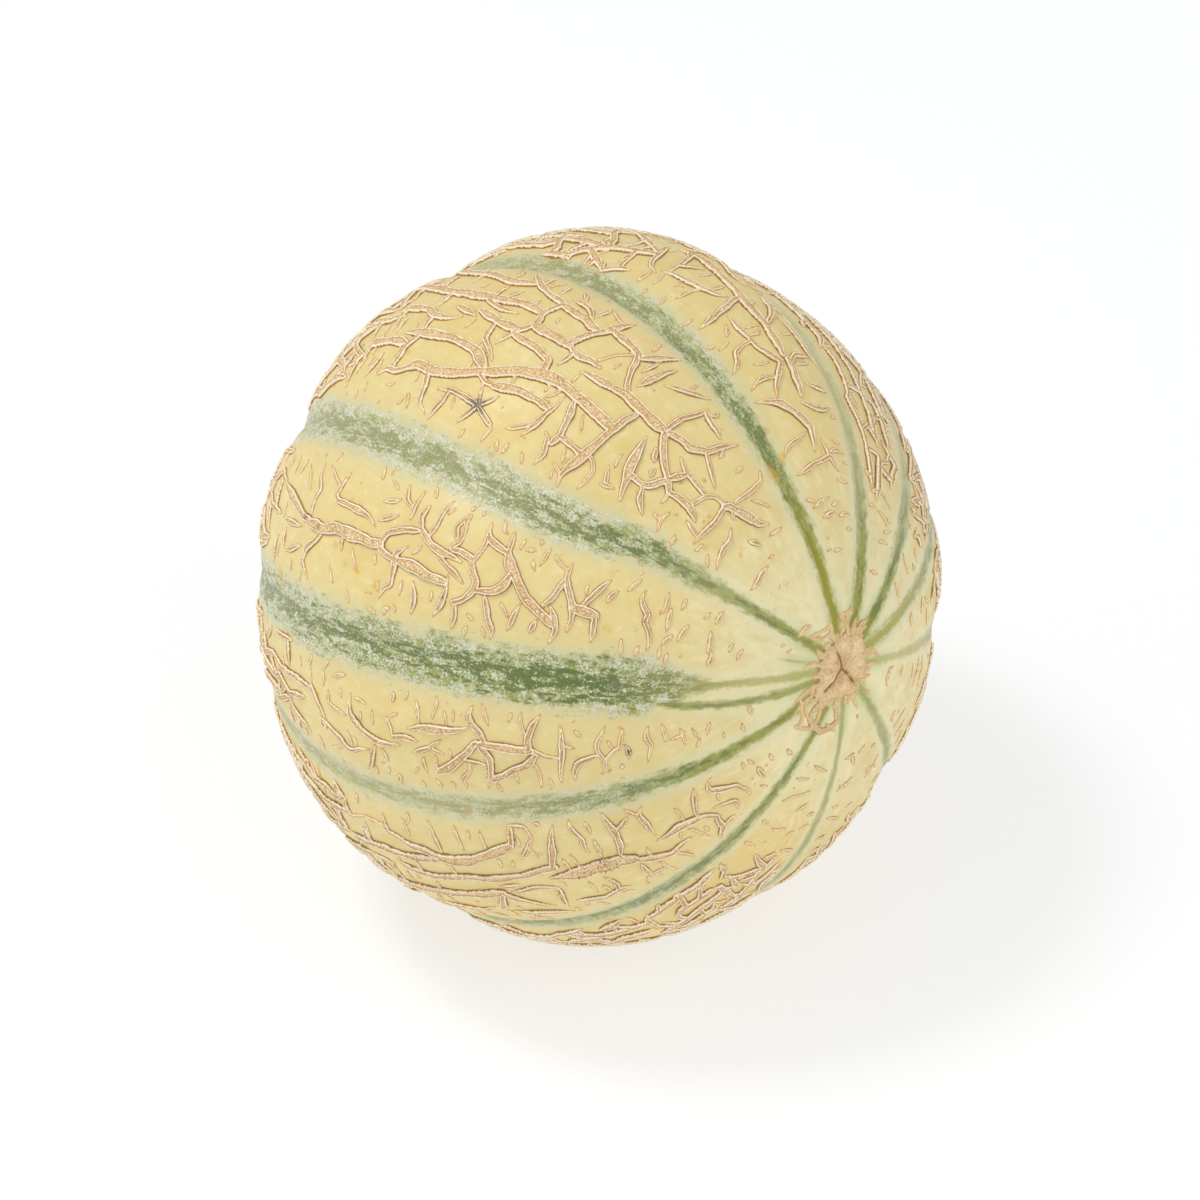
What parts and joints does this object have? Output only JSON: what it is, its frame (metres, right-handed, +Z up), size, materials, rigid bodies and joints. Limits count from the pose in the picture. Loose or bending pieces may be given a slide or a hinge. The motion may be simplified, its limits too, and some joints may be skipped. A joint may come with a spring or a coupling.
{
  "type": "cantaloupe melon",
  "caption": "Whole ripe netted melon with green striped grooves, lying on its side with its blossom end turned outwards.",
  "frame": {"origin": "middle of the small flat resting spot underneath, on the surface that the melon lies on", "axes": "+Z up; the melon's long axis lies in the XZ plane, with the blossom end towards +X and tipped 13 degrees above the horizontal"},
  "size_m": [0.131, 0.1404, 0.1392],
  "materials": {
    "rind": "satin"
  },
  "bodies": {
    "root": {"melon": "rind"}
  },
  "joints": []
}
